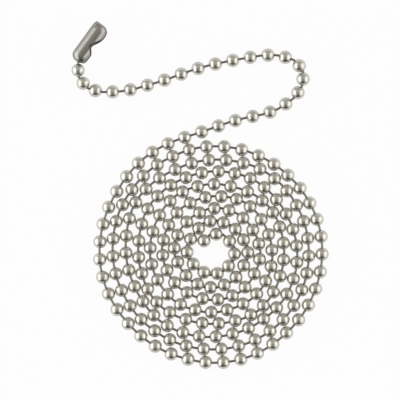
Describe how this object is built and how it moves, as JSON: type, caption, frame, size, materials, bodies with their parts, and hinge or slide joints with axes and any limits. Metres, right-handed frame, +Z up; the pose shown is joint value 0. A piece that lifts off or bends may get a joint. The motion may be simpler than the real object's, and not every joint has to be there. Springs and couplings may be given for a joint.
{
  "type": "roller blind ball chain",
  "caption": "Metal ball chain for a roller blind, coiled flat, with its outer tail looped out to a folded sheet snap connector.",
  "frame": {"origin": "under the middle of the whole, on the plane that the chain lies on", "axes": "+Z up from the plane; +Y from the coil towards the tail, the way the chain's whole outline is longest; +X to the right as seen from above with +Y away"},
  "size_m": [0.0864, 0.117, 0.0054],
  "materials": {
    "ball_metal": "satin nickel plating",
    "link_metal": "satin nickel plating",
    "connector_metal": "satin nickel plating"
  },
  "bodies": {
    "coil": {"chain_run_01": "ball_metal", "chain_run_02": "ball_metal", "chain_run_03": "ball_metal", "chain_run_04": "ball_metal", "chain_run_05": "ball_metal", "chain_run_06": "ball_metal", "chain_run_07": "ball_metal", "chain_run_08": "ball_metal", "chain_run_09": "ball_metal", "chain_run_10": "ball_metal", "chain_run_11": "ball_metal", "chain_run_12": "ball_metal", "chain_run_13": "ball_metal", "chain_run_14": "ball_metal", "chain_run_15": "ball_metal", "chain_run_16": "ball_metal", "chain_run_17": "ball_metal", "chain_run_18": "ball_metal", "chain_run_19": "ball_metal", "chain_run_20": "ball_metal", "chain_run_21": "ball_metal", "chain_run_22": "ball_metal", "chain_run_23": "ball_metal", "chain_run_24": "ball_metal", "chain_run_25": "ball_metal", "chain_run_26": "ball_metal", "chain_run_27": "ball_metal", "chain_run_28": "ball_metal", "chain_run_29": "ball_metal", "chain_run_30": "ball_metal", "chain_run_31": "ball_metal", "chain_run_32": "ball_metal", "chain_run_33": "ball_metal", "chain_run_34": "ball_metal", "chain_run_35": "ball_metal", "chain_run_36": "ball_metal", "chain_run_37": "ball_metal", "chain_run_38": "ball_metal", "chain_run_39": "ball_metal", "chain_run_40": "ball_metal", "chain_run_41": "ball_metal", "chain_run_42": "ball_metal", "chain_run_43": "ball_metal", "chain_run_44": "ball_metal", "chain_run_45": "ball_metal", "ball_3": "ball_metal"},
    "link_3": {"link_3": "link_metal"},
    "ball_2": {"ball_2": "ball_metal"},
    "link_2": {"link_2": "link_metal"},
    "ball_1": {"ball_1": "ball_metal"},
    "link_1": {"link_1": "link_metal"},
    "end_ball": {"end_ball": "ball_metal"},
    "connector": {"connector": "connector_metal"}
  },
  "joints": [
    {"name": "link_3_tilt", "type": "hinge", "parent": "coil", "child": "link_3", "pos_m": [-0.03723, 0.0357, 0.0023], "axis": [0, 0, 1], "range_deg": [-13.8, 40.2]},
    {"name": "ball_2_tilt", "type": "hinge", "parent": "link_3", "child": "ball_2", "pos_m": [-0.03806, 0.03613, 0.00232], "axis": [0, 0, 1], "range_deg": [-5.2, 48.8]},
    {"name": "link_2_tilt", "type": "hinge", "parent": "ball_2", "child": "link_2", "pos_m": [-0.0407, 0.03919, 0.00242], "axis": [0, 0, 1], "range_deg": [-5.2, 48.8]},
    {"name": "ball_1_tilt", "type": "hinge", "parent": "link_2", "child": "ball_1", "pos_m": [-0.04098, 0.03999, 0.00244], "axis": [0, 0, 1], "range_deg": [-10, 44]},
    {"name": "link_1_tilt", "type": "hinge", "parent": "ball_1", "child": "link_1", "pos_m": [-0.04113, 0.04403, 0.0026], "axis": [0, 0, 1], "range_deg": [-10, 44]},
    {"name": "end_ball_tilt", "type": "hinge", "parent": "link_1", "child": "end_ball", "pos_m": [-0.04077, 0.04536, 0.00267], "axis": [0, 0, 1], "range_deg": [-4.5, 25.5]},
    {"name": "connector_tilt", "type": "hinge", "parent": "end_ball", "child": "connector", "pos_m": [-0.03991, 0.04718, 0.00272], "axis": [0, 0, 1], "range_deg": [-9.5, 30.5]}
  ]
}
